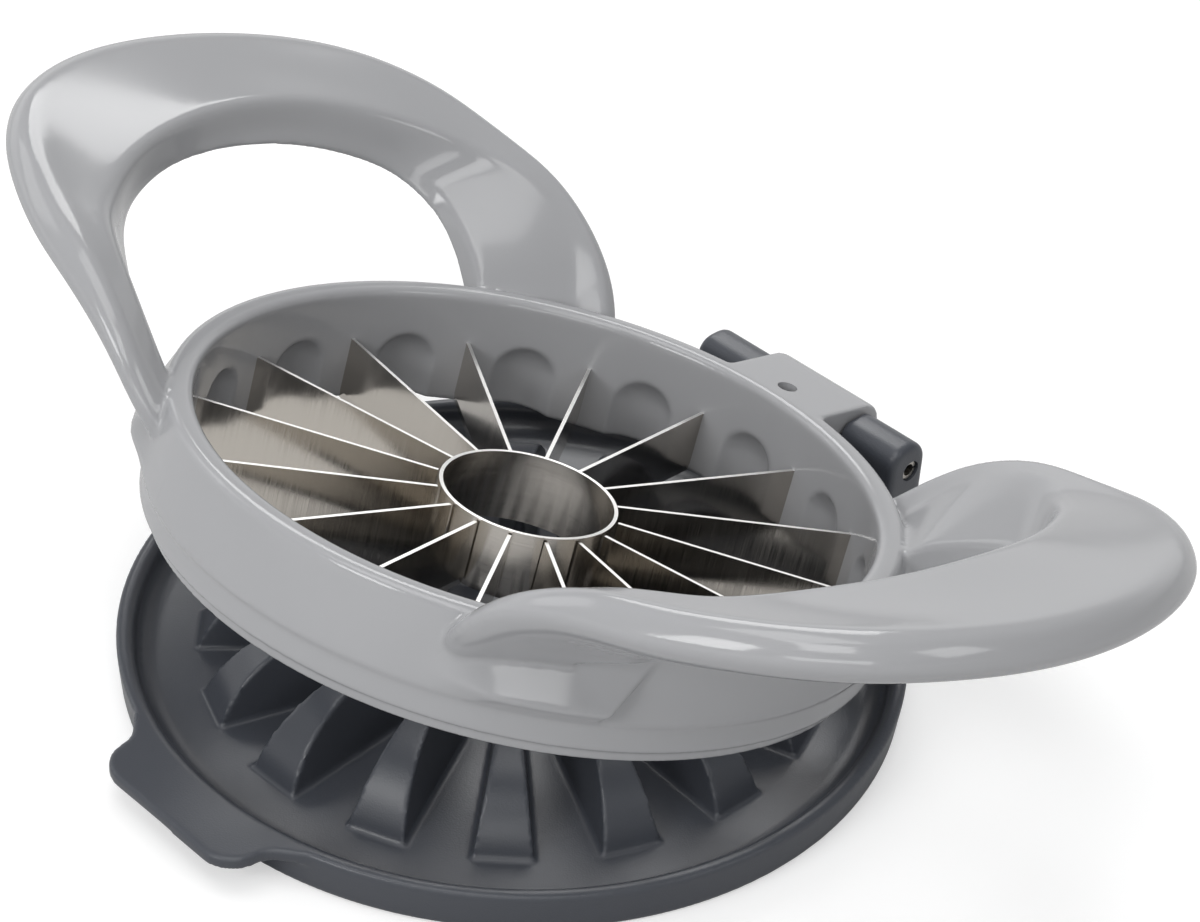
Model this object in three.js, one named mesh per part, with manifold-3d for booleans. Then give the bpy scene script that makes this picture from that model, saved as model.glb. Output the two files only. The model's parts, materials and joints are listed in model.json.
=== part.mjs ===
// Apple slicer and wedger with a hinged push-through base.
// A moulded ring with two loop handles holds sixteen thin blades around a steel core ring.
// It swings on a pin at the back of a round base, whose sixteen wedges push the slices through.
// Millimetres. +X runs along the handles and the hinge pin, -Y to the pull tab, +Z up.
// The origin is the middle of the base's underside.
// All heights are those of the closed slicer. The cutter group is then swung open to openAngle.

import * as THREE from 'three';
import { mergeVertices } from 'three/addons/utils/BufferGeometryUtils.js';
import Module from 'manifold-3d';

const wasm = await Module();
wasm.setup();

// General
const fitGap = 0.3;
const overrun = 1;
const weldLength = 0.0001;
const openAngle = THREE.MathUtils.degToRad(14.3);

// Blades and core ring
const bladeCount = 16;
const bladeThickness = 0.5;
const bladeBottomZ = 3.2;
const bladeTopZ = 12.3;
const bladeEdgeHeight = 1.2;
const bladeSeatDepth = 1.5;
const coreRadius = 11.75;
const coreWall = 0.5;
const coreRise = 0.4;
const coreDrop = 0.3;

// Cutter ring
const ringInnerRadius = 44.45;
const ringTopZ = 19.75;
const ringLandWidth = 3.4;
const ringFlareRadius = 49.4;
const ringStepZ = 8.55;
const ringStepDepth = 0.5;
const ringBandBottomZ = 4.95;
const ringSkirtRadius = 47.8;
const ringSkirtDrop = 1.85;
const ringCrestRound = 1.1;
const ringEdgeRound = 0.5;
const scallopRadius = 5.5;
const scallopDepth = 2.05;
const scallopCentreZ = 8.7;

// Loop handles
const handleReach = 83.2;
const handleRootX = 20;
const handleHalfWidth = 43.1;
const handleTopZ = 42;
const handleSetBack = 0.7;
const holeSetBack = 1.9;
const handleRidgeRound = 1.6;
const handleOuterRound = 2.2;
const handleInnerRound = 0.9;
const handleEdgeSwell = 2.6;
const handleEdgeDrop = 3.4;
const handleUnderSwell = 0.6;
const handleUnderDrop = 6.2;
const gussetDepth = 2.3;
const gussetFrontAngle = THREE.MathUtils.degToRad(60);
const gussetFootAngle = THREE.MathUtils.degToRad(34.5);
const gussetTopAngle = THREE.MathUtils.degToRad(26.5);

// Crest lines of half a loop, from its far end to its root inside the ring.
// Each point holds shares of the way from the root to the reach, of the half width and of the height.
const outerCrestShares = [
  [1, 0, 1], [0.983, 0.267, 0.998], [0.932, 0.506, 0.988],
  [0.859, 0.687, 0.967], [0.769, 0.812, 0.936], [0.671, 0.896, 0.898],
  [0.525, 0.961, 0.831], [0.392, 0.991, 0.783], [0.256, 0.998, 0.674],
  [0.168, 0.981, 0.55], [0.108, 0.923, 0.433], [0, 0.766, 0.238],
];
const ridgeShares = [
  [0.709, 0, 0.936], [0.698, 0.209, 0.926], [0.672, 0.36, 0.907],
  [0.633, 0.51, 0.883], [0.578, 0.654, 0.845], [0.516, 0.766, 0.81],
  [0.465, 0.831, 0.798], [0.396, 0.877, 0.762], [0.309, 0.896, 0.676],
  [0.229, 0.882, 0.552], [0.166, 0.847, 0.417], [0.047, 0.673, 0.19],
];
const backLowerCrestShares = [
  [0.699, 0, 0.845], [0.69, 0.197, 0.833], [0.668, 0.336, 0.81],
  [0.636, 0.469, 0.776], [0.598, 0.575, 0.719], [0.546, 0.631, 0.671],
  [0.503, 0.645, 0.643], [0.438, 0.638, 0.595], [0.377, 0.619, 0.548],
  [0.337, 0.603, 0.514], [0.293, 0.568, 0.429], [0.142, 0.418, 0.19],
];
const frontLowerCrestShares = [
  [0.699, 0, 0.845], [0.69, 0.209, 0.829], [0.668, 0.371, 0.798],
  [0.641, 0.51, 0.75], [0.589, 0.622, 0.705], [0.519, 0.701, 0.667],
  [0.459, 0.742, 0.619], [0.411, 0.766, 0.571], [0.373, 0.784, 0.533],
  [0.324, 0.812, 0.5], [0.261, 0.8, 0.417], [0.127, 0.626, 0.19],
];
const backHoleEdgeShares = [
  [0.677, 0, 0.79], [0.668, 0.186, 0.771], [0.652, 0.325, 0.743],
  [0.627, 0.459, 0.705], [0.587, 0.559, 0.657], [0.525, 0.617, 0.593],
  [0.484, 0.631, 0.548], [0.435, 0.629, 0.49], [0.391, 0.624, 0.417],
  [0.34, 0.603, 0.345], [0.285, 0.568, 0.262], [0.127, 0.383, 0.119],
];
const frontHoleEdgeShares = [
  [0.677, 0, 0.79], [0.68, 0.209, 0.781], [0.672, 0.383, 0.743],
  [0.657, 0.508, 0.652], [0.578, 0.613, 0.61], [0.511, 0.671, 0.588],
  [0.453, 0.705, 0.538], [0.41, 0.717, 0.486], [0.373, 0.729, 0.452],
  [0.326, 0.763, 0.429], [0.253, 0.754, 0.345], [0.111, 0.58, 0.119],
];

// Hinge
const hingeY = 56.3;
const hingeZ = 14.8;
const hingeHalfLength = 18.6;
const lugHalfWidth = 8.5;
const lugRound = 3.6;
const barrelRadius = 4.2;
const knuckleBackReach = 3;
const knuckleBackRound = 3.2;
const knuckleFrontRound = 2.6;
const knuckleCorner = 1;
const pinRadius = 1.4;
const pinWall = 0.5;
const pinSlit = 0.5;
const pinInset = 0.4;
const drainHoleRadius = 1.4;
const drainHoleY = 49.2;
const drainHoleDepth = 5;

// Base tray
const trayRimRadius = 51.9;
const trayRimZ = 6;
const trayFootRadius = 51.3;
const trayWallRadius = 49.55;
const trayRimLand = 1.5;
const trayRimChamfer = 0.8;
const trayFloorZ = 2;
const trayFillet = 3;
const trayFootRound = 0.8;
const trayRimRound = 0.4;

// Pull tab
const tabThickness = 2.8;
const tabLength = 6.4;
const tabHalfWidth = 12.6;
const tabRootHalfWidth = 14.5;
const tabRootStandoff = 0.7;
const tabShoulderHalfWidth = 18;
const tabShoulderInset = 2.9;
const tabCornerRound = 3;
const tabShoulderRound = 2.5;

// Push wedges
const wedgeTopZ = 12.5;
const wedgeInnerRadius = 14.5;
const wedgeFootRadius = 41.3;
const wedgeCrownRadius = 16;
const wedgeInnerHalfWidth = 1.75;
const wedgeFootHalfWidth = 3.9;
const wedgeDraftShare = 0.126;
const wedgeEdgeRound = 0.4;
const wedgeSink = 0.6;

// Facet counts
const ringSegments = 80;
const cornerSteps = 3;
const scallopSegments = 16;
const scallopArcSteps = 4;
const handleStations = 36;
const gussetHeights = 2;
const barrelSteps = 8;
const pinSegments = 20;
const wedgeArcSteps = 7;
const roundHoleSegments = 16;

// Worked-out sizes
const bladePitch = 2 * Math.PI / bladeCount;
const ringSkirtBottomZ = ringBandBottomZ - ringSkirtDrop;
const ringBandRadius = ringFlareRadius - ringStepDepth;
const bladeInnerRadius = coreRadius + fitGap;
const bladeOuterRadius = ringInnerRadius + bladeSeatDepth;
const tabBottomZ = trayRimZ - tabThickness;

// Colours and finishes
const lightPlastic = { color: 0xb4b5b8, roughness: 0.28, metalness: 0 };
const darkPlastic = { color: 0x4c4f56, roughness: 0.45, metalness: 0 };
const bladeSteel = { color: 0xb9b6b0, roughness: 0.3, metalness: 1 };
const pinSteel = { color: 0x9a978f, roughness: 0.4, metalness: 1 };

// A solid from a closed three.js geometry whose shared vertices are merged.
function toSolid(geometry) {
  const bare = geometry.clone();
  bare.deleteAttribute('normal');
  bare.deleteAttribute('uv');
  const merged = mergeVertices(bare, weldLength);
  const index = merged.index.array;
  const kept = [];
  for (let i = 0; i < index.length; i += 3) {
    const [a, b, c] = [index[i], index[i + 1], index[i + 2]];
    if (a !== b && b !== c && c !== a) kept.push(a, b, c);
  }
  const vertProperties = merged.attributes.position.array;
  const triVerts = new Uint32Array(kept);
  return new wasm.Manifold(new wasm.Mesh({ numProp: 3, vertProperties, triVerts }));
}

// The geometry of a finished solid.
function toGeometry(solid) {
  const mesh = solid.getMesh();
  const geometry = new THREE.BufferGeometry();
  geometry.setAttribute('position', new THREE.BufferAttribute(mesh.vertProperties, mesh.numProp));
  geometry.setIndex(new THREE.BufferAttribute(mesh.triVerts, 1));
  geometry.computeVertexNormals();
  return geometry;
}

// A closed outline through corners { x, y, round }, each rounded to its own radius.
function roundedOutline(corners, steps = cornerSteps) {
  const points = [];
  corners.forEach((corner, i) => {
    const here = new THREE.Vector2(corner.x, corner.y);
    if (!corner.round) {
      points.push(here);
      return;
    }
    const before = corners[(i + corners.length - 1) % corners.length];
    const after = corners[(i + 1) % corners.length];
    const back = new THREE.Vector2(before.x, before.y).sub(here).normalize();
    const ahead = new THREE.Vector2(after.x, after.y).sub(here).normalize();
    const half = Math.acos(back.dot(ahead)) / 2;
    const middle = back.clone().add(ahead).normalize();
    const centre = here.clone().addScaledVector(middle, corner.round / Math.sin(half));
    const turn = Math.PI - 2 * half;
    const side = Math.sign(back.cross(ahead));
    const start = middle.angle() + Math.PI + side * turn / 2;
    for (let k = 0; k <= steps; k++) {
      const angle = start - side * turn * k / steps;
      const reach = new THREE.Vector2(Math.cos(angle), Math.sin(angle));
      points.push(centre.clone().addScaledVector(reach, corner.round));
    }
  });
  return points;
}

// A revolve about the Z axis of a closed outline of (radius, height) points.
function revolve(outline, segments = ringSegments) {
  const geometry = new THREE.LatheGeometry([...outline, outline[0]], segments);
  return geometry.rotateX(Math.PI / 2);
}

// A bar along X from x = start to x = end, with an outline of (y, z) points.
function barAlongX(outline, start, end) {
  const shape = new THREE.Shape(outline);
  const geometry = new THREE.ExtrudeGeometry(shape, { depth: end - start, bevelEnabled: false });
  geometry.applyMatrix4(new THREE.Matrix4().makeBasis(
    new THREE.Vector3(0, 1, 0), new THREE.Vector3(0, 0, 1), new THREE.Vector3(1, 0, 0)));
  return geometry.translate(start, 0, 0);
}

// A round post along Z between two heights.
function post(radius, bottomZ, topZ, segments) {
  const geometry = new THREE.CylinderGeometry(radius, radius, topZ - bottomZ, segments);
  return geometry.rotateX(Math.PI / 2).translate(0, 0, (bottomZ + topZ) / 2);
}

// A skin over sections of equal point count, closed at both ends.
// Each section runs counter-clockwise about the way the sections follow one another.
function loft(sections) {
  const count = sections[0].length;
  const last = sections.length - 1;
  const index = [];
  for (let s = 0; s < last; s++) {
    for (let k = 0; k < count; k++) {
      const a = s * count + k;
      const b = s * count + (k + 1) % count;
      index.push(a, b, a + count, b, b + count, a + count);
    }
  }
  const points = sections.flat();
  for (const s of [0, last]) {
    const middle = new THREE.Vector3();
    sections[s].forEach((point) => middle.addScaledVector(point, 1 / count));
    const hub = points.push(middle) - 1;
    for (let k = 0; k < count; k++) {
      const a = s * count + k;
      const b = s * count + (k + 1) % count;
      if (s === last) index.push(hub, a, b);
      else index.push(hub, b, a);
    }
  }
  const geometry = new THREE.BufferGeometry().setFromPoints(points);
  geometry.setIndex(index);
  return geometry;
}

// A named mesh of one piece.
function piece(name, geometry, finish) {
  const mesh = new THREE.Mesh(geometry, new THREE.MeshStandardMaterial(finish));
  mesh.name = name;
  return mesh;
}

// How far the ring's wall swells under a handle arm, at one place on the ring.
// The swell fades in from the front or back of the ring and ends in a fold under the handle.
function gussetSwell(x, y, z) {
  const angle = Math.atan2(Math.abs(y), Math.abs(x));
  const foot = ringStepZ + ringStepDepth;
  const rise = THREE.MathUtils.clamp((z - foot) / (ringTopZ - ringCrestRound - foot), 0, 1);
  const fold = THREE.MathUtils.lerp(gussetFootAngle, gussetTopAngle, rise);
  if (angle < fold) return 0;
  const along = THREE.MathUtils.smoothstep(gussetFrontAngle - angle, 0, (gussetFrontAngle - fold) / 2);
  return gussetDepth * along * Math.sin(Math.PI * rise);
}

// Cutter frame: the ring, a revolve with a rounded land, a flared wall, a stepped band and a skirt.
function ringSolid() {
  const landOuter = ringInnerRadius + ringLandWidth;
  const foot = { x: ringFlareRadius, y: ringStepZ + ringStepDepth };
  const wall = [];
  for (let k = 1; k <= gussetHeights; k++) {
    const share = k / (gussetHeights + 1);
    wall.push({ x: foot.x + (landOuter - foot.x) * share, y: foot.y + (ringTopZ - foot.y) * share });
  }
  const outline = roundedOutline([
    { x: ringBandRadius, y: ringBandBottomZ, round: ringEdgeRound },
    { x: ringBandRadius, y: ringStepZ },
    foot,
    ...wall,
    { x: landOuter, y: ringTopZ, round: ringCrestRound },
    { x: ringInnerRadius, y: ringTopZ, round: ringCrestRound },
    { x: ringInnerRadius, y: ringSkirtBottomZ, round: ringEdgeRound },
    { x: ringSkirtRadius, y: ringSkirtBottomZ, round: ringEdgeRound },
    { x: ringSkirtRadius, y: ringBandBottomZ },
  ]);
  const geometry = revolve(outline);
  const places = geometry.attributes.position;
  for (let i = 0; i < places.count; i++) {
    const point = new THREE.Vector3().fromBufferAttribute(places, i);
    const radius = Math.hypot(point.x, point.y);
    if (radius <= landOuter) continue;
    const swell = 1 + gussetSwell(point.x, point.y, point.z) / radius;
    places.setXY(i, point.x * swell, point.y * swell);
  }
  return toSolid(geometry);
}

// A ball-nosed post that hollows the inner wall between two blades.
function scallopCutter(angle) {
  const points = [new THREE.Vector2(0, ringSkirtBottomZ - overrun)];
  points.push(new THREE.Vector2(scallopRadius, ringSkirtBottomZ - overrun));
  for (let k = 0; k < scallopArcSteps; k++) {
    const rise = Math.PI / 2 * k / scallopArcSteps;
    points.push(new THREE.Vector2(
      scallopRadius * Math.cos(rise), scallopCentreZ + scallopRadius * Math.sin(rise)));
  }
  points.push(new THREE.Vector2(0, scallopCentreZ + scallopRadius));
  const geometry = new THREE.LatheGeometry(points, scallopSegments).rotateX(Math.PI / 2);
  geometry.translate(ringInnerRadius + scallopDepth - scallopRadius, 0, 0);
  return toSolid(geometry.rotateZ(angle));
}

// A slot in the inner wall that seats the end of one blade.
function seatCutter(angle) {
  const width = bladeThickness + 2 * fitGap;
  const inner = ringInnerRadius - overrun;
  const length = bladeOuterRadius + fitGap - inner;
  const bottom = ringSkirtBottomZ - overrun;
  const height = bladeTopZ + fitGap - bottom;
  const geometry = new THREE.BoxGeometry(length, width, height);
  geometry.translate(inner + length / 2, 0, bottom + height / 2);
  return toSolid(geometry.rotateZ(angle));
}

// A smooth line around a loop: through the front shares to the far end, and back through the back ones.
function crestLine(frontShares, backShares, setBack) {
  const place = (side) => ([along, aside, up]) => new THREE.Vector3(
    handleRootX + (handleReach - handleRootX) * along,
    side * handleHalfWidth * aside + setBack,
    handleTopZ * up);
  const front = frontShares.slice(1).reverse().map(place(-1));
  return new THREE.CatmullRomCurve3([...front, ...backShares.map(place(1))]);
}

// A closed outline through corners { point, round } in space, each rounded off over its own length.
function softOutline(corners) {
  return corners.flatMap(({ point, round }, i) => {
    const before = corners[(i + corners.length - 1) % corners.length].point;
    const after = corners[(i + 1) % corners.length].point;
    const start = point.clone().lerp(before, Math.min(round / point.distanceTo(before), 0.45));
    const end = point.clone().lerp(after, Math.min(round / point.distanceTo(after), 0.45));
    return new THREE.QuadraticBezierCurve3(start, point, end).getPoints(cornerSteps - 1);
  });
}

// Right-hand loop handle: a rounded section that follows the crest lines out of the ring and back.
function handleSolid() {
  const lines = [
    crestLine(outerCrestShares, outerCrestShares, handleSetBack),
    crestLine(ridgeShares, ridgeShares, holeSetBack),
    crestLine(frontLowerCrestShares, backLowerCrestShares, holeSetBack),
    crestLine(frontHoleEdgeShares, backHoleEdgeShares, holeSetBack),
  ];
  const sections = [];
  for (let s = 0; s <= handleStations; s++) {
    const [outer, ridge, lower, edge] = lines.map((line) => line.getPoint(s / handleStations));
    const across = outer.clone().sub(ridge).setZ(0).normalize();
    const swell = outer.clone().addScaledVector(across, handleEdgeSwell);
    const under = outer.clone().addScaledVector(across, handleUnderSwell);
    swell.z -= handleEdgeDrop;
    under.z -= handleUnderDrop;
    sections.push(softOutline([
      { point: ridge, round: handleRidgeRound },
      { point: outer, round: handleOuterRound },
      { point: swell, round: handleOuterRound },
      { point: under, round: handleOuterRound },
      { point: edge, round: handleInnerRound },
      { point: lower, round: handleInnerRound },
    ]));
  }
  return toSolid(loft(sections));
}

// Hinge lug at the back of the ring: flush with the land, and rounded over the pin.
function lugSolid() {
  const root = ringInnerRadius + ringLandWidth / 2;
  const outline = roundedOutline([
    { x: root, y: hingeZ - barrelRadius },
    { x: hingeY + barrelRadius, y: hingeZ - barrelRadius, round: lugRound },
    { x: hingeY + barrelRadius, y: ringTopZ, round: lugRound },
    { x: root, y: ringTopZ },
  ]);
  return toSolid(barAlongX(outline, -lugHalfWidth, lugHalfWidth));
}

// A round bore along the hinge axis.
function pinBore(halfLength) {
  const geometry = new THREE.CylinderGeometry(
    pinRadius + fitGap, pinRadius + fitGap, 2 * halfLength, roundHoleSegments);
  return toSolid(geometry.rotateZ(Math.PI / 2).translate(0, hingeY, hingeZ));
}

function cutterFrame() {
  const bore = toSolid(post(ringInnerRadius, -handleTopZ, 2 * handleTopZ, ringSegments));
  const rightHandle = handleSolid();
  const leftHandle = rightHandle.mirror([1, 0, 0]);
  let frame = rightHandle.add(leftHandle).add(lugSolid()).subtract(bore).add(ringSolid());
  for (let n = 0; n < bladeCount; n++) {
    frame = frame.subtract(scallopCutter(n * bladePitch));
    frame = frame.subtract(seatCutter((n + 0.5) * bladePitch));
  }
  const drain = post(drainHoleRadius, ringTopZ - drainHoleDepth, ringTopZ + overrun, roundHoleSegments);
  frame = frame.subtract(toSolid(drain.translate(0, drainHoleY, 0)));
  frame = frame.subtract(pinBore(lugHalfWidth + overrun));
  return piece('cutter_frame', toGeometry(frame), lightPlastic);
}

// Core ring: a thin steel tube, ground to an edge at the bottom.
function coreRing() {
  const inner = coreRadius - coreWall;
  const bottom = bladeBottomZ - coreDrop;
  const top = bladeTopZ + coreRise;
  const outline = [
    new THREE.Vector2(inner, bottom),
    new THREE.Vector2(coreRadius, bottom + bladeEdgeHeight),
    new THREE.Vector2(coreRadius, top),
    new THREE.Vector2(inner, top),
  ];
  return piece('core_ring', toGeometry(toSolid(revolve(outline))), bladeSteel);
}

// A blade: a thin steel strip with its lower edge ground to a V.
function blade(n) {
  const half = bladeThickness / 2;
  const outline = [
    new THREE.Vector2(0, bladeBottomZ),
    new THREE.Vector2(half, bladeBottomZ + bladeEdgeHeight),
    new THREE.Vector2(half, bladeTopZ),
    new THREE.Vector2(-half, bladeTopZ),
    new THREE.Vector2(-half, bladeBottomZ + bladeEdgeHeight),
  ];
  const name = `blade_${String(n + 1).padStart(2, '0')}`;
  const strip = barAlongX(outline, bladeInnerRadius, bladeOuterRadius);
  const mesh = piece(name, toGeometry(toSolid(strip)), bladeSteel);
  mesh.rotation.z = (n + 0.5) * bladePitch;
  return mesh;
}

// Tray: a round dish with a chamfered rim.
function traySolid() {
  const chamferOuter = trayRimRadius - trayRimLand;
  const outline = roundedOutline([
    { x: 0, y: 0 },
    { x: trayFootRadius, y: 0, round: trayFootRound },
    { x: trayRimRadius, y: trayRimZ, round: trayRimRound },
    { x: chamferOuter, y: trayRimZ },
    { x: trayWallRadius, y: trayRimZ - trayRimChamfer },
    { x: trayWallRadius, y: trayFloorZ, round: trayFillet },
    { x: 0, y: trayFloorZ },
  ]);
  return toSolid(revolve(outline));
}

// Pull tab: a flat tongue off the rim with rounded corners and hollow shoulders.
function tabSolid() {
  const half = [
    { x: tabShoulderHalfWidth, y: tabShoulderInset - trayRimRadius },
    { x: tabRootHalfWidth, y: -trayRimRadius - tabRootStandoff, round: tabShoulderRound },
    { x: tabHalfWidth, y: -trayRimRadius - tabLength, round: tabCornerRound },
  ];
  const mirrored = half.map((corner) => ({ ...corner, x: -corner.x })).reverse();
  const shape = new THREE.Shape(roundedOutline([...mirrored, ...half]));
  const slab = new THREE.ExtrudeGeometry(shape, { depth: tabThickness, bevelEnabled: false });
  const dish = post(trayWallRadius + trayRimLand / 2, 0, trayRimZ + overrun, ringSegments);
  return toSolid(slab.translate(0, 0, tabBottomZ)).subtract(toSolid(dish));
}

// One push wedge: a tapered fin with a flat top that rounds down to a broad foot.
function wedgeSolid(angle) {
  const crownCentreZ = wedgeTopZ - wedgeCrownRadius;
  const footZ = trayFloorZ - wedgeSink / 2;
  const endRise = Math.asin((footZ - crownCentreZ) / wedgeCrownRadius);
  const floorRise = Math.asin((trayFloorZ - crownCentreZ) / wedgeCrownRadius);
  const crownStart = wedgeFootRadius - wedgeCrownRadius * Math.cos(floorRise);
  const stations = [{ r: wedgeInnerRadius, z: wedgeTopZ }];
  for (let k = 0; k <= wedgeArcSteps; k++) {
    const rise = Math.PI / 2 + (endRise - Math.PI / 2) * k / wedgeArcSteps;
    stations.push({
      r: crownStart + wedgeCrownRadius * Math.cos(rise),
      z: crownCentreZ + wedgeCrownRadius * Math.sin(rise),
    });
  }
  const taper = (wedgeFootHalfWidth - wedgeInnerHalfWidth) / (wedgeFootRadius - wedgeInnerRadius);
  const bottom = trayFloorZ - wedgeSink;
  const sections = stations.map(({ r, z }) => {
    const base = wedgeInnerHalfWidth + taper * (r - wedgeInnerRadius);
    const top = base - wedgeDraftShare * (z - trayFloorZ);
    const round = Math.min(wedgeEdgeRound, top / 2);
    return [
      new THREE.Vector3(r, base, bottom),
      new THREE.Vector3(r, top, z - round),
      new THREE.Vector3(r, top - round, z),
      new THREE.Vector3(r, round - top, z),
      new THREE.Vector3(r, -top, z - round),
      new THREE.Vector3(r, -base, bottom),
    ];
  });
  return toSolid(loft(sections).rotateZ(angle));
}

// A hinge knuckle on a leg that rises from the back of the tray.
function knuckleSolid(start, end) {
  const front = hingeY - barrelRadius;
  const back = hingeY + knuckleBackReach;
  const outline = roundedOutline([
    { x: trayWallRadius + trayRimLand / 2, y: 0 },
    { x: trayRimRadius + barrelRadius / 2, y: 0, round: knuckleCorner },
    { x: back, y: trayRimZ, round: knuckleBackRound },
    { x: back, y: hingeZ + barrelRadius, round: knuckleBackRound },
    { x: front, y: hingeZ + barrelRadius, round: knuckleFrontRound },
    { x: front, y: trayRimZ, round: knuckleCorner },
    { x: trayWallRadius + trayRimLand / 2, y: trayRimZ },
  ]);
  return toSolid(barAlongX(outline, start, end));
}

function pushBase() {
  let base = traySolid().add(tabSolid());
  for (let n = 0; n < bladeCount; n++) base = base.add(wedgeSolid(n * bladePitch));
  const inner = lugHalfWidth + fitGap;
  base = base.add(knuckleSolid(inner, hingeHalfLength)).add(knuckleSolid(-hingeHalfLength, -inner));
  base = base.subtract(pinBore(hingeHalfLength + overrun));
  return piece('push_base', toGeometry(base), darkPlastic);
}

// Hinge pin: a rolled spring pin, a sleeve with a slit along it.
function hingePin() {
  const halfLength = hingeHalfLength - pinInset;
  const slitHalfAngle = Math.asin(pinSlit / 2 / pinRadius);
  const outline = [];
  for (let k = 0; k <= pinSegments; k++) {
    const angle = slitHalfAngle + (2 * Math.PI - 2 * slitHalfAngle) * k / pinSegments;
    outline.push(new THREE.Vector2(Math.cos(angle), Math.sin(angle)).multiplyScalar(pinRadius));
  }
  const inner = outline.map((point) => point.clone().multiplyScalar(1 - pinWall / pinRadius));
  const sleeve = barAlongX([...outline, ...inner.reverse()], -halfLength, halfLength);
  const mesh = piece('hinge_pin', toGeometry(toSolid(sleeve)), pinSteel);
  mesh.position.set(0, hingeY, hingeZ);
  return mesh;
}

// The assembly: the base stands still, and the cutter swings about the pin.
const slicer = new THREE.Group();
slicer.add(pushBase(), hingePin());

const swing = new THREE.Group();
swing.position.set(0, hingeY, hingeZ);
swing.rotation.x = -openAngle;
slicer.add(swing);

const cutter = new THREE.Group();
cutter.position.set(0, -hingeY, -hingeZ);
swing.add(cutter);
cutter.add(cutterFrame(), coreRing());
for (let n = 0; n < bladeCount; n++) cutter.add(blade(n));

export default slicer;
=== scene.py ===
import json
import math

import bmesh
import bpy
from mathutils import Matrix, Vector


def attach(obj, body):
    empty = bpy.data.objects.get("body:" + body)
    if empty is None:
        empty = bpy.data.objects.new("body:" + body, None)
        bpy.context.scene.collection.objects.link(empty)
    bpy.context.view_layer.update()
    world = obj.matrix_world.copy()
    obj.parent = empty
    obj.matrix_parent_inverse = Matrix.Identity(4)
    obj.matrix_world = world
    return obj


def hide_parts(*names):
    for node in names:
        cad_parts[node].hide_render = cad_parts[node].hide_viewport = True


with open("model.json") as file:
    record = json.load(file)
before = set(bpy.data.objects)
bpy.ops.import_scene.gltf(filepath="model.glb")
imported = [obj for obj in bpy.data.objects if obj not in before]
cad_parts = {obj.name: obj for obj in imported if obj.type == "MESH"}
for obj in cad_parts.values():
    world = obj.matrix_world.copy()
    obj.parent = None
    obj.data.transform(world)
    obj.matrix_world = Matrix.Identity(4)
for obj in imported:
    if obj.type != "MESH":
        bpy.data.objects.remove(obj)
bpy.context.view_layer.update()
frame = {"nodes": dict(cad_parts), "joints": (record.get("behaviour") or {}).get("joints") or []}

# The viewpoint: the tool stands on a pale table, seen from its front right corner and from above.
# A long 100 mm lens, as product pictures are taken, tipped a few degrees to one side.
camera_place = Vector((0.23964, -0.24304, 0.28110))
camera_aim = Vector((-0.01014, 0.02493, 0.01500))
camera_roll = math.radians(4.33)
camera_data = bpy.data.cameras.new("camera")
camera_data.lens = 100
camera_data.sensor_width = 36
camera_data.clip_end = 20
camera = bpy.data.objects.new("camera", camera_data)
camera.location = camera_place
look = (camera_aim - camera_place).to_track_quat("-Z", "Y").to_matrix()
camera.rotation_euler = (look @ Matrix.Rotation(camera_roll, 3, "Z")).to_euler()
bpy.context.scene.collection.objects.link(camera)
bpy.context.scene.camera = camera
bpy.context.scene.view_settings.view_transform = "Standard"

# The stage: a wide white table in a studio that is white round the horizon, and dimmer overhead
# and on the right. Seven softboxes light it.
# Camera and transmission rays see plain white; reflections and light see the studio.
studio_horizon = 1.0
studio_ceiling = 0.45
horizon_end = math.sin(math.radians(10))
ceiling_start = math.sin(math.radians(20))
right_azimuth = math.radians(20)
right_share = 0.45
right_start = 0
right_full = 0.8
floor_half_width = 1.6
floor_white = 0.62
floor_white_lift = 0.46
floor_roughness = 0.9
softbox_aim = Vector((0, 0, 0.02))
softboxes = (  # name, azimuth and elevation in degrees, width and height in m, brightness
    ("back_left_softbox", 135, 40.5, 0.46, 0.44, 4.2),
    ("front_softbox", -41, 58, 0.34, 0.28, 3.6),
    ("left_front_softbox", -90, 35, 0.34, 0.34, 7.0),
    ("low_front_softbox", -42, 26, 0.60, 0.22, 3.0),
    ("left_softbox", -163, 33, 0.40, 0.40, 1.4),
    ("right_softbox", 18, 38, 0.30, 0.30, 3.0),
    ("top_softbox", -100, 82, 0.60, 0.60, 2.3))


def new_material(name):
    material = bpy.data.materials.new(name)
    material.use_nodes = True
    return material, material.node_tree.nodes, material.node_tree.links


def feed(links, socket, value):
    if isinstance(value, bpy.types.NodeSocket):
        links.new(value, socket)
    else:
        socket.default_value = value


def add_math(nodes, links, operation, first, second):
    node = nodes.new("ShaderNodeMath")
    node.operation = operation
    feed(links, node.inputs[0], first)
    feed(links, node.inputs[1], second)
    return node.outputs[0]


def add_range(nodes, links, value, start, end, low, high, smooth=False):
    node = nodes.new("ShaderNodeMapRange")
    if smooth:
        node.interpolation_type = "SMOOTHSTEP"
    links.new(value, node.inputs["Value"])
    for name, limit in (("From Min", start), ("From Max", end), ("To Min", low), ("To Max", high)):
        feed(links, node.inputs[name], limit)
    return node.outputs["Result"]


def add_mix(nodes, links, share, before, after):
    node = nodes.new("ShaderNodeMix")
    node.data_type = "FLOAT"
    for name, value in (("Factor", share), ("A", before), ("B", after)):
        feed(links, node.inputs[name], value)
    return node.outputs["Result"]


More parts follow.
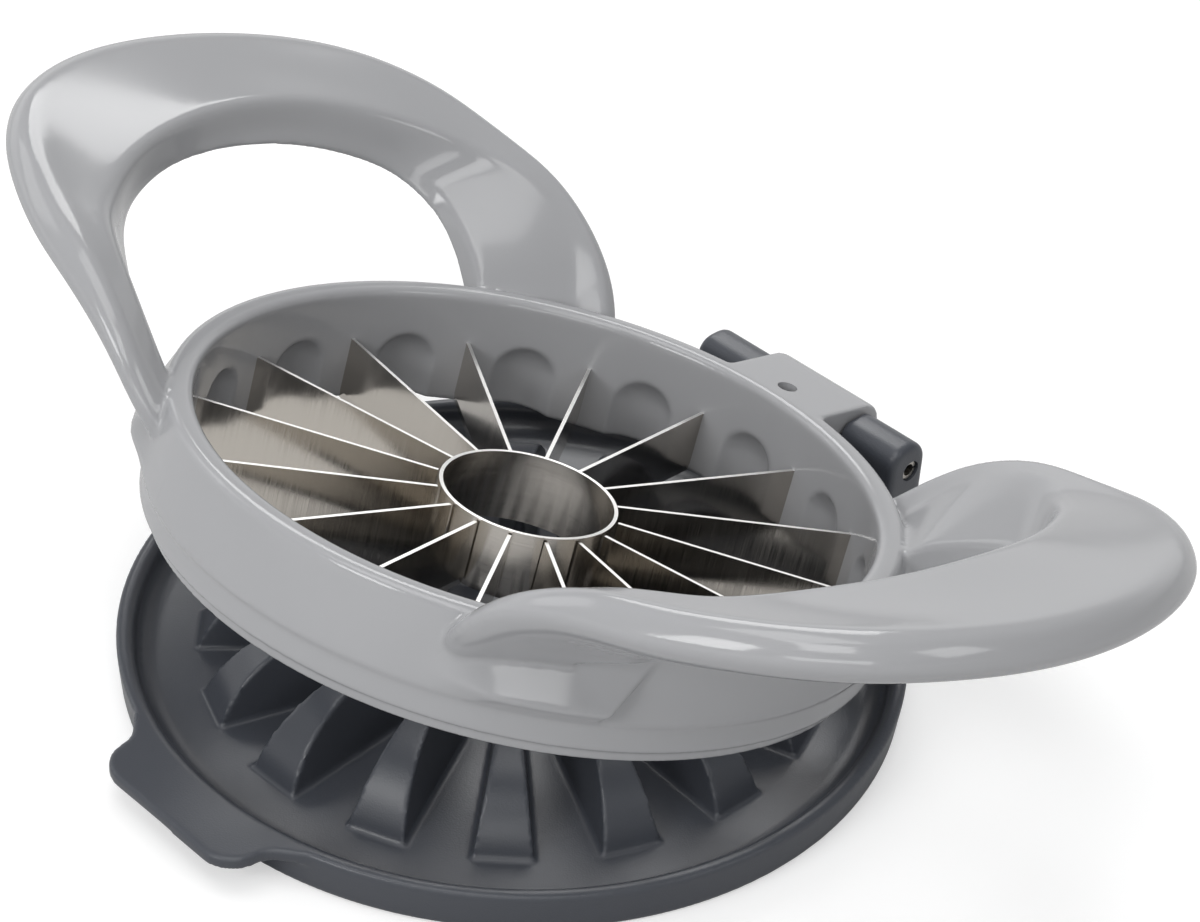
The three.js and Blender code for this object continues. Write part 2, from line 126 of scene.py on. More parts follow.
world = bpy.data.worlds.new("studio")
world.use_nodes = True
bpy.context.scene.world = world
sky_nodes, sky_links = world.node_tree.nodes, world.node_tree.links
sky = sky_nodes["Background"]
sky.inputs["Color"].default_value = (1, 1, 1, 1)
way = sky_nodes.new("ShaderNodeTexCoord")
way_parts = sky_nodes.new("ShaderNodeSeparateXYZ")
sky_links.new(way.outputs["Generated"], way_parts.inputs["Vector"])
overhead = add_range(sky_nodes, sky_links, way_parts.outputs["Z"], horizon_end, ceiling_start,
                     studio_horizon, studio_ceiling, smooth=True)
sideways = sky_nodes.new("ShaderNodeVectorMath")
sideways.operation = "DOT_PRODUCT"
sideways.inputs[1].default_value = (math.cos(right_azimuth), math.sin(right_azimuth), 0)
sky_links.new(way.outputs["Generated"], sideways.inputs[0])
dimmed = add_range(sky_nodes, sky_links, sideways.outputs["Value"], right_start, right_full,
                   1, right_share, smooth=True)
studio = add_math(sky_nodes, sky_links, "MULTIPLY", overhead, dimmed)
rays = sky_nodes.new("ShaderNodeLightPath")
seen = add_math(sky_nodes, sky_links, "MAXIMUM", rays.outputs["Is Camera Ray"],
                rays.outputs["Is Transmission Ray"])
sky_links.new(add_mix(sky_nodes, sky_links, seen, studio, 1), sky.inputs["Strength"])

floor_bm = bmesh.new()
bmesh.ops.create_grid(floor_bm, x_segments=1, y_segments=1, size=floor_half_width)
floor_mesh = bpy.data.meshes.new("floor")
floor_bm.to_mesh(floor_mesh)
floor_bm.free()
floor = bpy.data.objects.new("floor", floor_mesh)
bpy.context.scene.collection.objects.link(floor)
floor_material, floor_nodes, floor_links = new_material("white_table")
floor_shader = floor_nodes["Principled BSDF"]
floor_shader.inputs["Base Color"].default_value = (floor_white, floor_white, floor_white, 1)
floor_shader.inputs["Roughness"].default_value = floor_roughness
floor_shader.inputs["Specular IOR Level"].default_value = 0
floor_shader.inputs["Emission Color"].default_value = (1, 1, 1, 1)
floor_rays = floor_nodes.new("ShaderNodeLightPath")
floor_lift = add_math(floor_nodes, floor_links, "MULTIPLY", floor_rays.outputs["Is Camera Ray"],
                      floor_white_lift)
floor_links.new(floor_lift, floor_shader.inputs["Emission Strength"])
floor_mesh.materials.append(floor_material)

for name, azimuth, elevation, width, height, brightness in softboxes:
    around, above = math.radians(azimuth), math.radians(elevation)
    place = Vector((math.cos(around) * math.cos(above), math.sin(around) * math.cos(above),
                    math.sin(above)))
    lamp_data = bpy.data.lights.new(name, "AREA")
    lamp_data.shape = "RECTANGLE"
    lamp_data.size = width
    lamp_data.size_y = height
    lamp_data.energy = brightness * math.pi * width * height
    lamp = bpy.data.objects.new(name, lamp_data)
    lamp.location = place
    lamp.rotation_euler = (softbox_aim - place).to_track_quat("-Z", "Y").to_euler()
    bpy.context.scene.collection.objects.link(lamp)

# Push base: one slate grey moulding with a satin skin.
# A round tray with a chamfered rim, a pull tab, sixteen push wedges and two hinge knuckles.
MM = 0.001
blade_count = 16
pitch = 2 * math.pi / blade_count
hinge = Vector(frame["joints"][0]["pos_m"])
open_angle = math.radians(-frame["joints"][0]["range_deg"][0])
tray_rim_radius = 51.9 * MM
tray_rim_height = 6 * MM
tray_rim_round = 0.4 * MM
tray_foot_radius = 51.3 * MM
tray_foot_round = 0.8 * MM
tray_wall_radius = 49.55 * MM
tray_land = 1.5 * MM
tray_chamfer = 0.8 * MM
tray_floor = 2 * MM
tray_fillet = 3 * MM
same_place = 0.002 * MM
melt_voxel = 0.34 * MM
melt_kept_share = 0.29
melt_soft_share = 0.5
base_soft_passes = 4
cloud_fineness = 35
cloud_low, cloud_high = 0.3, 0.7
plastic_ior = 1.5
plastic_relief = 0.1 * MM
slate = (0.053, 0.058, 0.070, 1)


def rounded(corners, steps=4):
    points = []
    for n, (x, y, radius) in enumerate(corners):
        here = Vector((x, y))
        if not radius:
            points.append(here)
            continue
        back = (Vector(corners[n - 1][:2]) - here).normalized()
        ahead = (Vector(corners[(n + 1) % len(corners)][:2]) - here).normalized()
        half = back.angle(ahead) / 2
        middle = (back + ahead).normalized()
        centre = here + middle * (radius / math.sin(half))
        turn = math.pi - 2 * half
        side = math.copysign(1, back.x * ahead.y - back.y * ahead.x)
        start = math.atan2(middle.y, middle.x) + math.pi + side * turn / 2
        for k in range(steps + 1):
            angle = start - side * turn * k / steps
            points.append(centre + radius * Vector((math.cos(angle), math.sin(angle))))
    return points


def add_revolve(bm, outline, steps=192):
    made = [bm.verts.new((p.x, 0, p.y)) for p in outline]
    edges = [bm.edges.new((made[n - 1], made[n])) for n in range(len(made))]
    bmesh.ops.spin(bm, geom=made + edges, cent=(0, 0, 0), axis=(0, 0, 1), angle=2 * math.pi,
                   steps=steps, use_merge=True)


def add_sweep(bm, sections):
    face = bm.faces.new([bm.verts.new(p) for p in sections[0]])
    for section in sections[1:]:
        grown = bmesh.ops.extrude_face_region(bm, geom=[face, *face.edges])
        face = next(item for item in grown["geom"] if isinstance(item, bmesh.types.BMFace))
        for vert, place in zip(face.verts, section):
            vert.co = place
    return face


def add_post(bm, radius, length, segments=48):
    made = bmesh.ops.create_cone(bm, cap_ends=True, segments=segments, radius1=radius,
                                 radius2=radius, depth=length)
    return made["verts"]


def new_piece(name, bm):
    bmesh.ops.remove_doubles(bm, verts=bm.verts, dist=same_place)
    bmesh.ops.recalc_face_normals(bm, faces=bm.faces)
    mesh = bpy.data.meshes.new(name)
    bm.to_mesh(mesh)
    bm.free()
    piece = bpy.data.objects.new(name, mesh)
    bpy.context.scene.collection.objects.link(piece)
    return piece


def finish_modifiers(piece):
    evaluated = piece.evaluated_get(bpy.context.evaluated_depsgraph_get())
    mesh = bpy.data.meshes.new_from_object(evaluated)
    piece.modifiers.clear()
    piece.data = mesh


def carve(piece, tool, operation="DIFFERENCE"):
    modifier = piece.modifiers.new("carve", "BOOLEAN")
    modifier.operation = operation
    modifier.object = tool
    modifier.solver = "MANIFOLD"
    finish_modifiers(piece)
    bpy.data.objects.remove(tool)


def melt_together(piece, passes):
    remesh = piece.modifiers.new("one_moulding", "REMESH")
    remesh.mode = "VOXEL"
    remesh.voxel_size = melt_voxel
    soften = piece.modifiers.new("soft_edges", "SMOOTH")
    soften.factor = melt_soft_share
    soften.iterations = passes
    thin = piece.modifiers.new("fewer_faces_on_flats", "DECIMATE")
    thin.ratio = melt_kept_share
    finish_modifiers(piece)
    for polygon in piece.data.polygons:
        polygon.use_smooth = True


base_bm = bmesh.new()
add_revolve(base_bm, rounded([
    (0, 0, 0),
    (tray_foot_radius, 0, tray_foot_round),
    (tray_rim_radius, tray_rim_height, tray_rim_round),
    (tray_rim_radius - tray_land, tray_rim_height, 0),
    (tray_wall_radius, tray_rim_height - tray_chamfer, 0),
    (tray_wall_radius, tray_floor, tray_fillet),
    (0, tray_floor, 0)]))

# Pull tab, flush with the rim. Its root ends inside the rim's land, clear of the cutter ring.
tab_skew = math.radians(-1.2)
tab_underside = 4.3 * MM
tab_root_half, tab_root_depth = 17.5 * MM, 3.2 * MM
tab_middle_depth = 1.2 * MM
tab_shoulder_half, tab_shoulder_reach, tab_shoulder_round = 13.4 * MM, 0.2 * MM, 4 * MM
tab_tip_half, tab_tip_reach, tab_tip_round = 12.7 * MM, 6.2 * MM, 4.6 * MM
tab_side = [
    (tab_root_half, tab_root_depth - tray_rim_radius, 0),
    (tab_shoulder_half, -tray_rim_radius - tab_shoulder_reach, tab_shoulder_round),
    (tab_tip_half, -tray_rim_radius - tab_tip_reach, tab_tip_round)]
tab_corners = [(-x, y, r) for x, y, r in reversed(tab_side)]
tab_corners += [(0, tab_middle_depth - tray_rim_radius, 0)] + tab_side
tab_outline = [Matrix.Rotation(tab_skew, 2) @ p for p in rounded(tab_corners, steps=12)]
add_sweep(base_bm, [[(p.x, p.y, z) for p in tab_outline] for z in (tab_underside, tray_rim_height)])

# Push wedges, sixteen alike around the tray.
wedge_top = 12.5 * MM
wedge_inner = 14.5 * MM
wedge_foot = 41.3 * MM
wedge_crown = 16 * MM
wedge_half_inner = 1.75 * MM
wedge_half_foot = 3.9 * MM
wedge_draft = 0.126
wedge_sink = 0.6 * MM
wedge_steps = 24
wedge_low = tray_floor - wedge_sink
crown_centre = wedge_top - wedge_crown
floor_rise = math.asin((tray_floor - crown_centre) / wedge_crown)
end_rise = math.asin((tray_floor - wedge_sink / 2 - crown_centre) / wedge_crown)
crown_start = wedge_foot - wedge_crown * math.cos(floor_rise)
for n in range(blade_count):
    turn = Matrix.Rotation(n * pitch, 3, "Z")
    sections = []
    for k in range(wedge_steps + 1):
        rise = math.pi / 2 + (end_rise - math.pi / 2) * max(k - 1, 0) / (wedge_steps - 1)
        r = wedge_inner if k == 0 else crown_start + wedge_crown * math.cos(rise)
        z = crown_centre + wedge_crown * math.sin(rise)
        base_half = wedge_half_inner + (wedge_half_foot - wedge_half_inner) * (r - wedge_inner) / (
            wedge_foot - wedge_inner)
        top_half = base_half - wedge_draft * (z - tray_floor)
        sections.append([turn @ Vector(p) for p in (
            (r, base_half, wedge_low), (r, top_half, z),
            (r, -top_half, z), (r, -base_half, wedge_low))])
    add_sweep(base_bm, sections)

# Hinge knuckles on their legs.
barrel = 4.2 * MM
lug_half = 8.5 * MM
hinge_half = 18.6 * MM
pin_radius = 1.4 * MM
clearance = 0.3 * MM
pin_bore = pin_radius + clearance / 2
leg_behind_pin = 3 * MM
leg_front, leg_back = hinge.y - barrel, hinge.y + leg_behind_pin
leg_root = tray_wall_radius + tray_land / 2
leg_round = 3.2 * MM
leg_foot_round = MM
knuckle_round = 2.6 * MM
knuckle_end_round = 0.9 * MM
hole_edge_angle = math.radians(50)
knuckle_outline = rounded([
    (leg_root, 0, 0),
    (tray_rim_radius + barrel / 2, 0, leg_foot_round),
    (leg_back, tray_rim_height, leg_round),
    (leg_back, hinge.z + barrel, leg_round),
    (leg_front, hinge.z + barrel, knuckle_round),
    (leg_front, tray_rim_height, leg_foot_round),
    (leg_root, tray_rim_height, 0)], steps=8)
for side in (-1, 1):
    knuckle_end = add_sweep(base_bm, [[(x, p.x, p.y) for p in knuckle_outline]
                                      for x in (side * (lug_half + clearance), side * hinge_half)])
    bmesh.ops.bevel(base_bm, geom=list(knuckle_end.edges), offset=knuckle_end_round, segments=3,
                    affect="EDGES", profile=0.5, material=-1)
push_base = new_piece("push_base_moulding", base_bm)
melt_together(push_base, base_soft_passes)


def pin_hole(name, half_length):
    bm = bmesh.new()
    verts = add_post(bm, pin_bore, 2 * half_length)
    bmesh.ops.rotate(bm, verts=verts, cent=(0, 0, 0), matrix=Matrix.Rotation(math.pi / 2, 3, "Y"))
    bmesh.ops.translate(bm, verts=verts, vec=hinge)
    return new_piece(name, bm)


carve(push_base, pin_hole("pin_bore", hinge_half * 2))
push_base.data.set_sharp_from_angle(angle=hole_edge_angle)


def new_group(name, inputs):
    group = bpy.data.node_groups.new(name, "ShaderNodeTree")
    for socket, kind, value in inputs:
        made = group.interface.new_socket(socket, in_out="INPUT", socket_type=kind)
        made.default_value = value
    for socket in ("Roughness", "Relief"):
        group.interface.new_socket(socket, in_out="OUTPUT", socket_type="NodeSocketFloat")
    given = group.nodes.new("NodeGroupInput").outputs
    result = group.nodes.new("NodeGroupOutput").inputs
    return group, given, result


def add_noise(nodes, links, place, scale, detail=2, roughness=0.5):
    noise = nodes.new("ShaderNodeTexNoise")
    links.new(place, noise.inputs["Vector"])
    for name, value in (("Scale", scale), ("Detail", detail), ("Roughness", roughness)):
        feed(links, noise.inputs[name], value)
    return noise.outputs["Fac"]


def moulded_skin_group():
    group, given, result = new_group("moulded skin", (
        ("Grain fineness", "NodeSocketFloat", 900), ("Height", "NodeSocketFloat", 0.05),
        ("Gloss low", "NodeSocketFloat", 0.2), ("Gloss high", "NodeSocketFloat", 0.3)))
    nodes, links = group.nodes, group.links
    place = nodes.new("ShaderNodeTexCoord").outputs["Object"]
    grain = add_noise(nodes, links, place, given["Grain fineness"], detail=3)
    links.new(add_math(nodes, links, "MULTIPLY", grain, given["Height"]), result["Relief"])
    cloud = add_noise(nodes, links, place, cloud_fineness)
    gloss = add_range(nodes, links, cloud, cloud_low, cloud_high,
                      given["Gloss low"], given["Gloss high"])
    links.new(gloss, result["Roughness"])
    return group


def dress(name, color, group, relief_height, values):
    material, nodes, links = new_material(name)
    shader = nodes["Principled BSDF"]
    shader.inputs["Base Color"].default_value = color
    finish = nodes.new("ShaderNodeGroup")
    finish.node_tree = group
    for socket, value in values.items():
        finish.inputs[socket].default_value = value
    bump = nodes.new("ShaderNodeBump")
    bump.inputs["Distance"].default_value = relief_height
    links.new(finish.outputs["Relief"], bump.inputs["Height"])
    links.new(bump.outputs["Normal"], shader.inputs["Normal"])
    links.new(finish.outputs["Roughness"], shader.inputs["Roughness"])
    return material, shader


moulded_skin = moulded_skin_group()


def plastic(name, color, grain, height, gloss_low, gloss_high):
    material, shader = dress(name, color, moulded_skin, plastic_relief, {
        "Grain fineness": grain, "Height": height,
        "Gloss low": gloss_low, "Gloss high": gloss_high})
    shader.inputs["IOR"].default_value = plastic_ior
    return material


push_base.data.materials.clear()
push_base.data.materials.append(
    plastic("slate_plastic", slate, grain=4200, height=0.22, gloss_low=0.27, gloss_high=0.38))
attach(push_base, "base")
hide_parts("push_base")

# Hinge pin: a rolled spring steel pin that holds the two mouldings together.
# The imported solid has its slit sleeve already, so it only takes a finish.
steel_relief = 0.004 * MM
grain_low, grain_high = 0.35, 0.65


def brushed_group():
    group, given, result = new_group("brushed grain", (
        ("Stretch", "NodeSocketVector", (1, 1, 1)), ("Fine share", "NodeSocketFloat", 0.5),
        ("Gloss low", "NodeSocketFloat", 0.2), ("Gloss high", "NodeSocketFloat", 0.35)))
    nodes, links = group.nodes, group.links
    place = nodes.new("ShaderNodeTexCoord")
    level_out = nodes.new("ShaderNodeVectorRotate")
    level_out.rotation_type = "X_AXIS"
    level_out.inputs["Center"].default_value = hinge
    level_out.inputs["Angle"].default_value = open_angle
    links.new(place.outputs["Object"], level_out.inputs["Vector"])
    stretch = nodes.new("ShaderNodeVectorMath")
    stretch.operation = "MULTIPLY"
    links.new(level_out.outputs["Vector"], stretch.inputs[0])
    links.new(given["Stretch"], stretch.inputs[1])
    grain = add_noise(nodes, links, stretch.outputs["Vector"], 1, detail=5, roughness=0.65)
    gloss = add_range(nodes, links, grain, grain_low, grain_high,
                      given["Gloss low"], given["Gloss high"])
    links.new(gloss, result["Roughness"])
    links.new(add_math(nodes, links, "MULTIPLY", grain, given["Fine share"]), result["Relief"])
    return group


brushed_grain = brushed_group()


def steel(name, color, stretch, fine, gloss_low, gloss_high, spread=0):
    material, shader = dress(name, color, brushed_grain, steel_relief, {
        "Stretch": stretch, "Fine share": fine,
        "Gloss low": gloss_low, "Gloss high": gloss_high})
    shader.inputs["Metallic"].default_value = 1
    shader.inputs["Anisotropic"].default_value = spread
    return material


pin = frame["nodes"]["hinge_pin"]
pin.data.materials.clear()
pin.data.materials.append(steel("pin_steel", (0.50, 0.48, 0.44, 1), stretch=(300, 3000, 3000),
                                fine=0.8, gloss_low=0.25, gloss_high=0.4))

# Cutter frame: ring, two loop handles and hinge lug, one light grey glossy moulding.
# The ring is turned with a rounded land and a stepped band, and hollowed between the blades.
ring_inner = 44.45 * MM
ring_top = 19.75 * MM
ring_land = 3.4 * MM
ring_land_round = 1.1 * MM
ring_flare = 49.4 * MM
ring_step = 8.55 * MM
ring_step_depth = 0.5 * MM
ring_band = ring_flare - ring_step_depth
ring_band_bottom = 4.95 * MM
ring_skirt = 47.8 * MM
ring_skirt_drop = 1.85 * MM
ring_lip_round = 0.5 * MM
ring_steps = 768
ring_bore_height = 120 * MM
wall_steps = 24
frame_soft_passes = 8
light_grey = (0.338, 0.341, 0.352, 1)

ring_bm = bmesh.new()
skirt_bottom = ring_band_bottom - ring_skirt_drop
wall_foot = Vector((ring_flare, ring_step + ring_step_depth))
wall_head = Vector((ring_inner + ring_land, ring_top))
wall = [(*wall_foot.lerp(wall_head, k / wall_steps), 0) for k in range(wall_steps)]
add_revolve(ring_bm, rounded([
    (ring_band, ring_band_bottom, ring_lip_round),
    (ring_band, ring_step, 0),
    *wall,
    (ring_inner + ring_land, ring_top, ring_land_round),
    (ring_inner, ring_top, ring_land_round),
    (ring_inner, skirt_bottom, ring_lip_round),
    (ring_skirt, skirt_bottom, ring_lip_round),
    (ring_skirt, ring_band_bottom, 0)]), steps=ring_steps)

# The wall swells under the handle arms and ends in a fold.
gusset_depth = 2.2 * MM
gusset_peak = 0.22
gusset_front = math.radians(60)
gusset_foot_fold = math.radians(34.5)
gusset_top_fold = math.radians(26.5)
gusset_fold_width = math.radians(0.7)
for vert in ring_bm.verts:
    radius = vert.co.xy.length
    rise = (vert.co.z - wall_foot.y) / (ring_top - ring_land_round - wall_foot.y)
    if radius <= wall_head.x or not 0 < rise < 1:
        continue
    angle = math.atan2(abs(vert.co.y), abs(vert.co.x))
    fold = gusset_foot_fold + (gusset_top_fold - gusset_foot_fold) * rise
    along = min(max((gusset_front - angle) / (gusset_front - fold) * 2, 0), 1)
    behind_fold = min(max((angle - fold) / gusset_fold_width, 0), 1)
    bulge = min(rise / gusset_peak, (1 - rise) / (1 - gusset_peak))
    swell = gusset_depth * along * along * (3 - 2 * along) * behind_fold * bulge
    vert.co.xy *= 1 + swell / radius
ring = new_piece("ring", ring_bm)

# Scallops: a round hollow with a domed top between every two blades.
scallop = 5.5 * MM
scallop_depth = 2.05 * MM
scallop_centre = 8.7 * MM
scallop_run_out = MM
scallop_place = ring_inner + scallop_depth - scallop
post_middle = (scallop_centre - scallop_run_out) / 2
posts_bm, noses_bm = bmesh.new(), bmesh.new()
for n in range(blade_count):
    turn = Matrix.Rotation(n * pitch, 3, "Z")
    post = add_post(posts_bm, scallop, scallop_centre + scallop_run_out)
    nose = bmesh.ops.create_uvsphere(noses_bm, u_segments=48, v_segments=24,
                                     radius=scallop)["verts"]
    for bm, verts, z in ((posts_bm, post, post_middle), (noses_bm, nose, scallop_centre)):
        bmesh.ops.translate(bm, verts=verts, vec=(scallop_place, 0, z))
        bmesh.ops.rotate(bm, verts=verts, cent=(0, 0, 0), matrix=turn)
scallop_posts = new_piece("scallop_posts", posts_bm)
scallop_noses = new_piece("scallop_noses", noses_bm)

# Loop handles: a rounded section follows the crest lines out of the ring, round the hole and
# back. Every line runs from the loop's far end to its root, as x, distance from the axis and z,
# in mm.
handle_set_back = 0.7 * MM
hole_set_back = 1.9 * MM
outer_crest = (
    (83.2, 0, 42), (82.1, 11.5, 41.9), (78.9, 21.8, 41.5), (74.3, 29.6, 40.6), (68.6, 35, 39.3),
    (62.4, 38.6, 37.7), (53.2, 41.4, 34.9), (44.8, 42.7, 32.9), (36.2, 43, 28.3),
    (30.6, 42.3, 23.1), (26.8, 39.8, 18.2), (20, 33, 10))
ridge = (
    (64.8, 0, 39.3), (64.1, 9, 38.9), (62.5, 15.5, 38.1), (60, 22, 37.1), (56.5, 28.2, 35.5),
    (52.6, 33, 34), (49.4, 35.8, 33.5), (45, 37.8, 32), (39.5, 38.6, 28.4), (34.5, 38, 23.2),
    (30.5, 36.5, 17.5), (23, 29, 8))
back_lower_crest = (
    (64.2, 0, 35.5), (63.6, 8.5, 35), (62.2, 14.5, 34), (60.2, 20.2, 32.6), (57.8, 24.8, 30.2),
    (54.5, 27.2, 28.2), (51.8, 27.8, 27), (47.7, 27.5, 25), (43.8, 26.7, 23), (41.3, 26, 21.6),
    (38.5, 24.5, 18), (29, 18, 8))
front_lower_crest = (
    (64.2, 0, 35.5), (63.6, 9, 34.8), (62.2, 16, 33.5), (60.5, 22, 31.5), (57.2, 26.8, 29.6),
    (52.8, 30.2, 28), (49, 32, 26), (46, 33, 24), (43.6, 33.8, 22.4), (40.5, 35, 21),
    (36.5, 34.5, 17.5), (28, 27, 8))
back_hole_edge = (
    (62.8, 0, 33.2), (62.2, 8, 32.4), (61.2, 14, 31.2), (59.6, 19.8, 29.6), (57.1, 24.1, 27.6),
    (53.2, 26.6, 24.9), (50.6, 27.2, 23), (47.5, 27.1, 20.6), (44.7, 26.9, 17.5), (41.5, 26, 14.5),
    (38, 24.5, 11), (28, 16.5, 5))
front_hole_edge = (
    (62.8, 0, 33.2), (63, 9, 32.8), (62.5, 16.5, 31.2), (61.5, 21.9, 27.4), (56.5, 26.4, 25.6),
    (52.3, 28.9, 24.7), (48.6, 30.4, 22.6), (45.9, 30.9, 20.4), (43.6, 31.4, 19), (40.6, 32.9, 18),
    (36, 32.5, 14.5), (27, 25, 5))
# The section's belly and underside, out and down from the outer crest, in mm.
belly_out, belly_drop = 2.6, 3.4
under_out, under_drop = 0.6, 6.2
handle_steps = 132
handle_dish = 0.25 * MM
crown_soft = 1.6 * MM
dish_soft = 9 * MM
outer_soft = 2.2 * MM
edge_soft = 1.2 * MM
lower_soft = 0.9 * MM
crest_passes = 12
largest_cut = 0.45


def crest_line(front, back, set_back):
    knots = [Vector((x, -y, z)) * MM for x, y, z in reversed(front[1:])]
    knots += [Vector((x, y, z)) * MM for x, y, z in back]
    knots = [2 * knots[0] - knots[1]] + knots + [2 * knots[-1] - knots[-2]]
    line = []
    for n in range(handle_steps + 1):
        place = 1 + n * (len(knots) - 3) / handle_steps
        first = min(int(place), len(knots) - 3)
        share = place - first
        a, b, c, d = knots[first - 1:first + 3]
        before, along, after = (math.sqrt((q - p).length) for p, q in ((a, b), (b, c), (c, d)))
        leave = ((b - a) / before - (c - a) / (before + along) + (c - b) / along) * along
        arrive = ((c - b) / along - (d - b) / (along + after) + (d - c) / after) * along
        line.append(b + leave * share + (3 * (c - b) - 2 * leave - arrive) * share ** 2
                    + (2 * (b - c) + leave + arrive) * share ** 3)
    for _ in range(crest_passes):
        line = [line[0]] + [(line[n - 1] + 2 * line[n] + line[n + 1]) / 4
                            for n in range(1, handle_steps)] + [line[-1]]
    return [point + Vector((0, set_back, 0)) for point in line]


def soft_outline(corners, steps=6):
    points = []
    for n, (here, size) in enumerate(corners):
        before, after = corners[n - 1][0], corners[(n + 1) % len(corners)][0]
        start = here.lerp(before, min(size / (before - here).length, largest_cut))
        end = here.lerp(after, min(size / (after - here).length, largest_cut))
        for k in range(steps + 1):
            share = k / steps
            points.append(start.lerp(here, share).lerp(here.lerp(end, share), share))
    return points


moulding_bm = bmesh.new()
handle_lines = [crest_line(outer_crest, outer_crest, handle_set_back),
                crest_line(ridge, ridge, hole_set_back),
                crest_line(front_lower_crest, back_lower_crest, hole_set_back),
                crest_line(front_hole_edge, back_hole_edge, hole_set_back)]
handle_sections = []
for n, (outer, crown, lower, edge) in enumerate(zip(*handle_lines)):
    across = outer - crown
    across.z = 0
    across.normalize()
    dish = handle_dish * math.sin(math.pi * n / handle_steps) ** 2
    dip = (crown + outer) / 2 - Vector((0, 0, dish))
    belly = outer + across * belly_out * MM - Vector((0, 0, belly_drop * MM))
    under = outer + across * under_out * MM - Vector((0, 0, under_drop * MM))
    handle_sections.append(soft_outline([
        (crown, crown_soft), (dip, dish_soft), (outer, outer_soft), (belly, outer_soft),
        (under, outer_soft), (edge, edge_soft), (lower, lower_soft)]))
for side in (1, -1):
    add_sweep(moulding_bm, [[Vector((side * p.x, p.y, p.z)) for p in section]
                            for section in handle_sections])

# Hinge lug, flush with the land and rounded over the pin, with a drain hole.
lug_round = 3.6 * MM
lug_root = ring_inner + ring_land / 2
drain_radius = 1.4 * MM
drain_y = 49.2 * MM
drain_depth = 5 * MM
lug_outline = rounded([
    (lug_root, hinge.z - barrel, 0), (hinge.y + barrel, hinge.z - barrel, lug_round),
    (hinge.y + barrel, ring_top, lug_round), (lug_root, ring_top, 0)], steps=8)
add_sweep(moulding_bm, [[(x, p.x, p.y) for p in lug_outline] for x in (-lug_half, lug_half)])

cutter_frame = new_piece("cutter_frame_moulding", moulding_bm)
bore_bm = bmesh.new()
add_post(bore_bm, ring_inner, ring_bore_height, segments=256)
carve(cutter_frame, new_piece("ring_bore", bore_bm))
carve(cutter_frame, ring, "UNION")
carve(cutter_frame, scallop_posts)
carve(cutter_frame, scallop_noses)
melt_together(cutter_frame, frame_soft_passes)
carve(cutter_frame, pin_hole("lug_bore", hinge_half))
drain_bm = bmesh.new()
drain = add_post(drain_bm, drain_radius, 2 * drain_depth)
bmesh.ops.translate(drain_bm, verts=drain, vec=(0, drain_y, ring_top))
carve(cutter_frame, new_piece("lug_drain", drain_bm))
cutter_frame.data.set_sharp_from_angle(angle=hole_edge_angle)
swing = Matrix.Rotation(-open_angle, 4, "X")
opened = Matrix.Translation(hinge) @ swing @ Matrix.Translation(-hinge)
cutter_frame.data.transform(opened)
cutter_frame.data.materials.clear()
cutter_frame.data.materials.append(
    plastic("light_plastic", light_grey, grain=500, height=0.05, gloss_low=0.10, gloss_high=0.16))
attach(cutter_frame, "cutter")
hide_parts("cutter_frame")

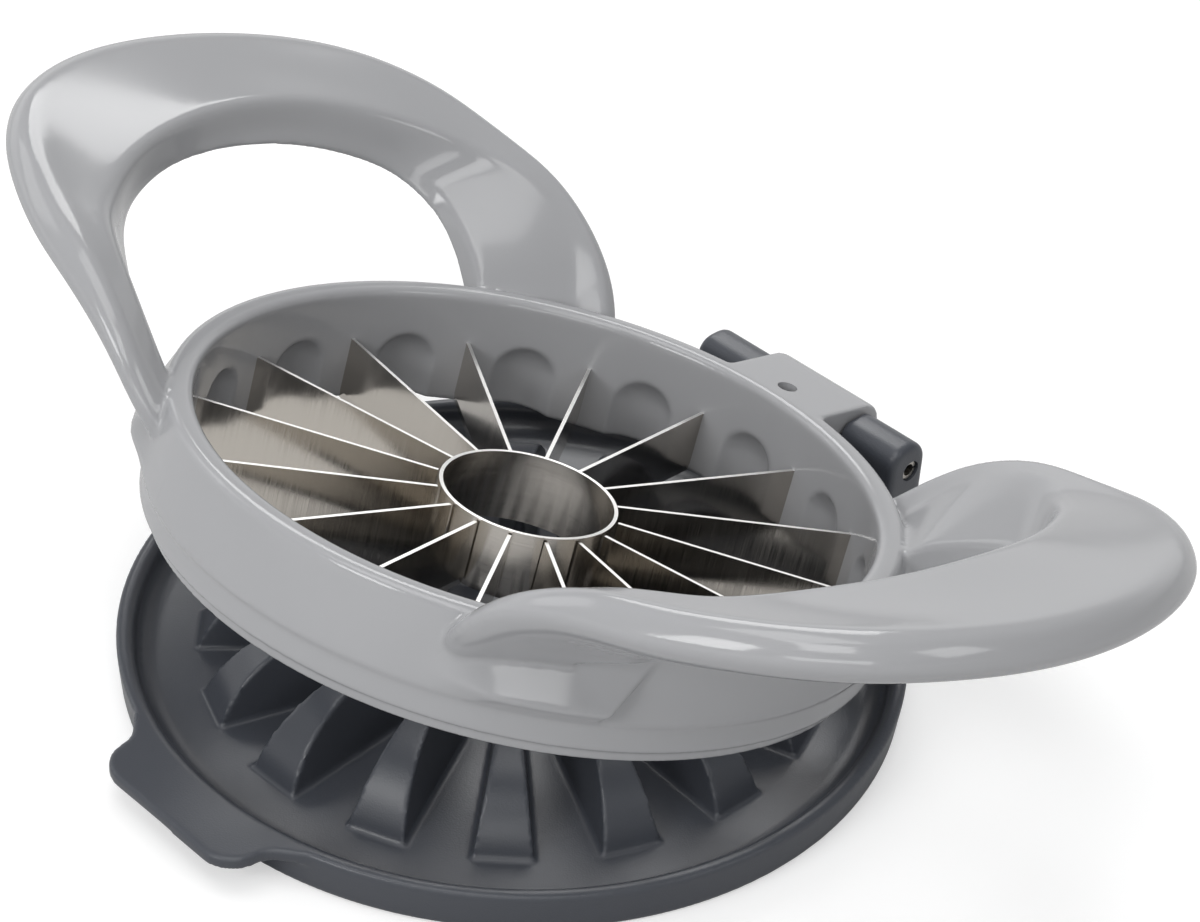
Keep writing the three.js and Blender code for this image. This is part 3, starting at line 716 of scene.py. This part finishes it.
# Core ring: a thin steel tube, brushed around, with a ground lower edge.
# The blades meet it all round.
core_radius = 11.75 * MM
core_wall = 0.5 * MM
core_top = 12.7 * MM
core_bottom = 2.9 * MM
core_ground_edge = 1.2 * MM
core_edge_angle = math.radians(25)
core_bm = bmesh.new()
add_revolve(core_bm, [
    Vector((core_radius - core_wall, core_bottom)),
    Vector((core_radius, core_bottom + core_ground_edge)),
    Vector((core_radius, core_top)),
    Vector((core_radius - core_wall, core_top))])
core = new_piece("core_ring_tube", core_bm)
for polygon in core.data.polygons:
    polygon.use_smooth = True
core.data.transform(opened)
core.data.set_sharp_from_angle(angle=core_edge_angle)
core_steel = steel("core_steel", (0.56, 0.53, 0.49, 1), stretch=(40, 40, 14000),
                   fine=0.35, gloss_low=0.14, gloss_high=0.24, spread=0.7)
around_core = core_steel.node_tree.nodes.new("ShaderNodeTangent")
around_core.direction_type = "RADIAL"
around_core.axis = "Z"
core_shader = core_steel.node_tree.nodes["Principled BSDF"]
core_shader.inputs["Anisotropic Rotation"].default_value = 0.25
core_steel.node_tree.links.new(around_core.outputs["Tangent"], core_shader.inputs["Tangent"])
core.data.materials.append(core_steel)
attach(core, "cutter")
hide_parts("core_ring")

# Blades: sixteen stainless strips, seated in the ring and against the core ring.
# They are brushed across and ground along the lower edge, and the sheared top edge carries a
# painted highlight: faces turned up get a near-white colour in place of light reflected from above.
top_way = opened.to_3x3() @ Vector((0, 0, 1))
top_facing = 0.9
# Near-white colour of the painted highlight on faces turned up, and their roughness.
painted_top_highlight = (0.95, 0.94, 0.92, 1)
top_edge_roughness = 0.35


# Paints a highlight: faces turned up get a near-white base colour that stands in for light from
# above, and a rougher finish.
def paint_top_highlight(material):
    nodes, links = material.node_tree.nodes, material.node_tree.links
    shader = nodes["Principled BSDF"]
    place = nodes.new("ShaderNodeTexCoord")
    facing = nodes.new("ShaderNodeVectorMath")
    facing.operation = "DOT_PRODUCT"
    facing.inputs[1].default_value = top_way
    links.new(place.outputs["Normal"], facing.inputs[0])
    # Mask of the faces turned up, which take the painted highlight colour.
    edge = add_math(nodes, links, "GREATER_THAN", facing.outputs["Value"], top_facing)
    tone = nodes.new("ShaderNodeMix")
    tone.data_type = "RGBA"
    tone.inputs["A"].default_value = shader.inputs["Base Color"].default_value
    tone.inputs["B"].default_value = painted_top_highlight
    links.new(edge, tone.inputs["Factor"])
    links.new(tone.outputs["Result"], shader.inputs["Base Color"])
    brushed = shader.inputs["Roughness"].links[0].from_socket
    gloss = add_mix(nodes, links, edge, brushed, top_edge_roughness)
    links.new(gloss, shader.inputs["Roughness"])


blade_steel = steel("blade_steel", (0.57, 0.535, 0.485, 1), stretch=(6000, 6000, 60),
                    fine=0.9, gloss_low=0.10, gloss_high=0.22)
# The core ring's up-facing rim takes the same painted highlight as the blade edges.
for finish in (blade_steel, core_steel):
    paint_top_highlight(finish)
for n in range(1, blade_count + 1):
    strip = frame["nodes"][f"blade_{n:02d}"]
    strip.data.materials.clear()
    strip.data.materials.append(blade_steel)
